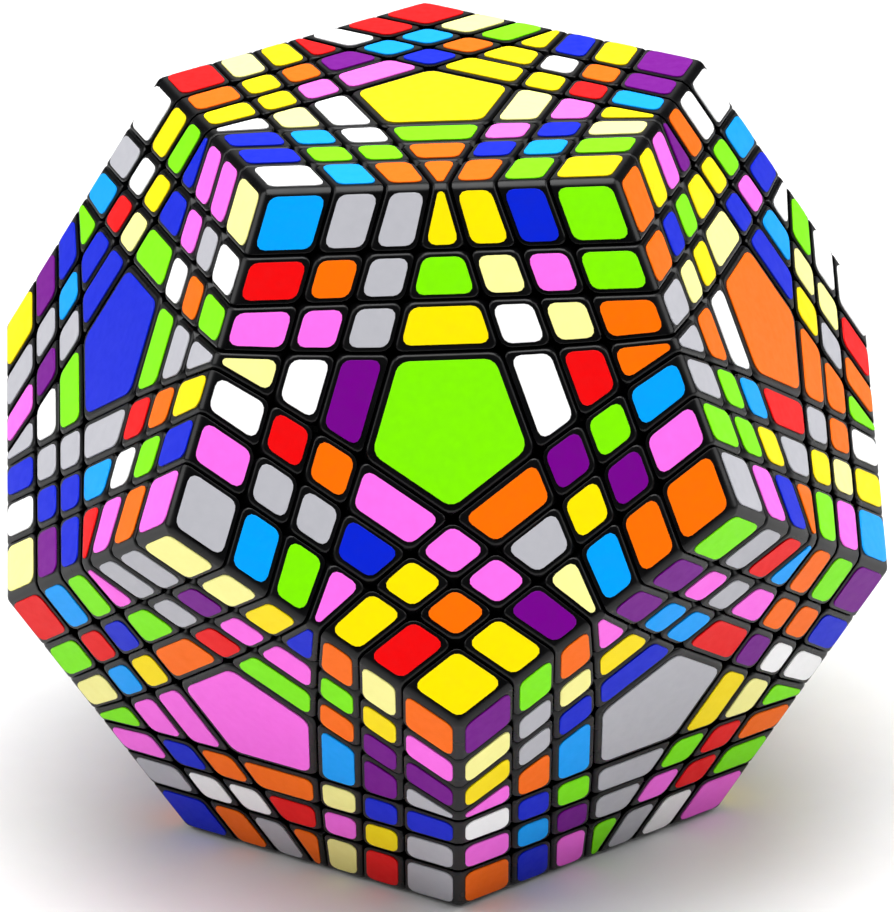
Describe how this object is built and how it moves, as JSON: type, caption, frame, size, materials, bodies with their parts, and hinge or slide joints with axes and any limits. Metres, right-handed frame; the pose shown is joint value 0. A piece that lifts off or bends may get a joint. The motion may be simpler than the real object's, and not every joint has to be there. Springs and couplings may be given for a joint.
{
  "type": "dodecahedral twisty puzzle",
  "caption": "Twelve-faced twisty puzzle with seven pieces along each edge, stickers on every face and three turning layers at each end of its axis.",
  "frame": {"origin": "middle of the face that the puzzle rests on, at the sticker surface", "axes": "+Z through the middle of the face on top, -Y through the middle of the front face, +X to the right of someone looking at the front"},
  "size_m": [0.1344, 0.1414, 0.1154],
  "materials": {
    "piece_plastic": "satin moulded black plastic",
    "cap_plastic": "satin moulded black plastic",
    "sticker_film": "smooth coloured vinyl film, a different colour for each sticker",
    "core_nylon": "natural moulded nylon",
    "screw_steel": "zinc-plated steel",
    "spring_steel": "drawn spring steel"
  },
  "bodies": {
    "core_and_waist": {"axis_screws": "screw_steel", "core_lower_half": "core_nylon", "core_upper_half": "core_nylon", "tension_springs": "spring_steel", "waist_centre_caps": "cap_plastic", "waist_centre_posts": "piece_plastic", "waist_corners": "piece_plastic", "waist_inner_t": "piece_plastic", "waist_inner_wings": "piece_plastic", "waist_inner_x": "piece_plastic", "waist_middle_edges": "piece_plastic", "waist_obliques": "piece_plastic", "waist_outer_t": "piece_plastic", "waist_outer_wings": "piece_plastic", "waist_outer_x": "piece_plastic", "waist_stickers": "sticker_film"},
    "top_layer_1": {"top_layer_1_centre_cap": "cap_plastic", "top_layer_1_centre_post": "piece_plastic", "top_layer_1_corners": "piece_plastic", "top_layer_1_inner_t": "piece_plastic", "top_layer_1_inner_wings": "piece_plastic", "top_layer_1_inner_x": "piece_plastic", "top_layer_1_middle_edges": "piece_plastic", "top_layer_1_obliques": "piece_plastic", "top_layer_1_outer_t": "piece_plastic", "top_layer_1_outer_wings": "piece_plastic", "top_layer_1_outer_x": "piece_plastic", "top_layer_1_stickers": "sticker_film"},
    "top_layer_2": {"top_layer_2_obliques": "piece_plastic", "top_layer_2_outer_t": "piece_plastic", "top_layer_2_outer_wings": "piece_plastic", "top_layer_2_outer_x": "piece_plastic", "top_layer_2_stickers": "sticker_film"},
    "top_layer_3": {"top_layer_3_inner_t": "piece_plastic", "top_layer_3_inner_wings": "piece_plastic", "top_layer_3_inner_x": "piece_plastic", "top_layer_3_obliques": "piece_plastic", "top_layer_3_stickers": "sticker_film"},
    "bottom_layer_3": {"bottom_layer_3_inner_t": "piece_plastic", "bottom_layer_3_inner_wings": "piece_plastic", "bottom_layer_3_inner_x": "piece_plastic", "bottom_layer_3_obliques": "piece_plastic", "bottom_layer_3_stickers": "sticker_film"},
    "bottom_layer_2": {"bottom_layer_2_obliques": "piece_plastic", "bottom_layer_2_outer_t": "piece_plastic", "bottom_layer_2_outer_wings": "piece_plastic", "bottom_layer_2_outer_x": "piece_plastic", "bottom_layer_2_stickers": "sticker_film"},
    "bottom_layer_1": {"bottom_layer_1_centre_cap": "cap_plastic", "bottom_layer_1_centre_post": "piece_plastic", "bottom_layer_1_corners": "piece_plastic", "bottom_layer_1_inner_t": "piece_plastic", "bottom_layer_1_inner_wings": "piece_plastic", "bottom_layer_1_inner_x": "piece_plastic", "bottom_layer_1_middle_edges": "piece_plastic", "bottom_layer_1_obliques": "piece_plastic", "bottom_layer_1_outer_t": "piece_plastic", "bottom_layer_1_outer_wings": "piece_plastic", "bottom_layer_1_outer_x": "piece_plastic", "bottom_layer_1_stickers": "sticker_film"}
  },
  "joints": [
    {"name": "top_layer_1_turn", "type": "hinge", "parent": "core_and_waist", "child": "top_layer_1", "pos_m": [0, 0, 0.0577], "axis": [0, 0, 1], "continuous": true},
    {"name": "top_layer_2_turn", "type": "hinge", "parent": "core_and_waist", "child": "top_layer_2", "pos_m": [0, 0, 0.0577], "axis": [0, 0, 1], "continuous": true},
    {"name": "top_layer_3_turn", "type": "hinge", "parent": "core_and_waist", "child": "top_layer_3", "pos_m": [0, 0, 0.0577], "axis": [0, 0, 1], "continuous": true},
    {"name": "bottom_layer_3_turn", "type": "hinge", "parent": "core_and_waist", "child": "bottom_layer_3", "pos_m": [0, 0, 0.0577], "axis": [0, 0, 1], "continuous": true},
    {"name": "bottom_layer_2_turn", "type": "hinge", "parent": "core_and_waist", "child": "bottom_layer_2", "pos_m": [0, 0, 0.0577], "axis": [0, 0, 1], "continuous": true},
    {"name": "bottom_layer_1_turn", "type": "hinge", "parent": "core_and_waist", "child": "bottom_layer_1", "pos_m": [0, 0, 0.0577], "axis": [0, 0, 1], "continuous": true}
  ]
}
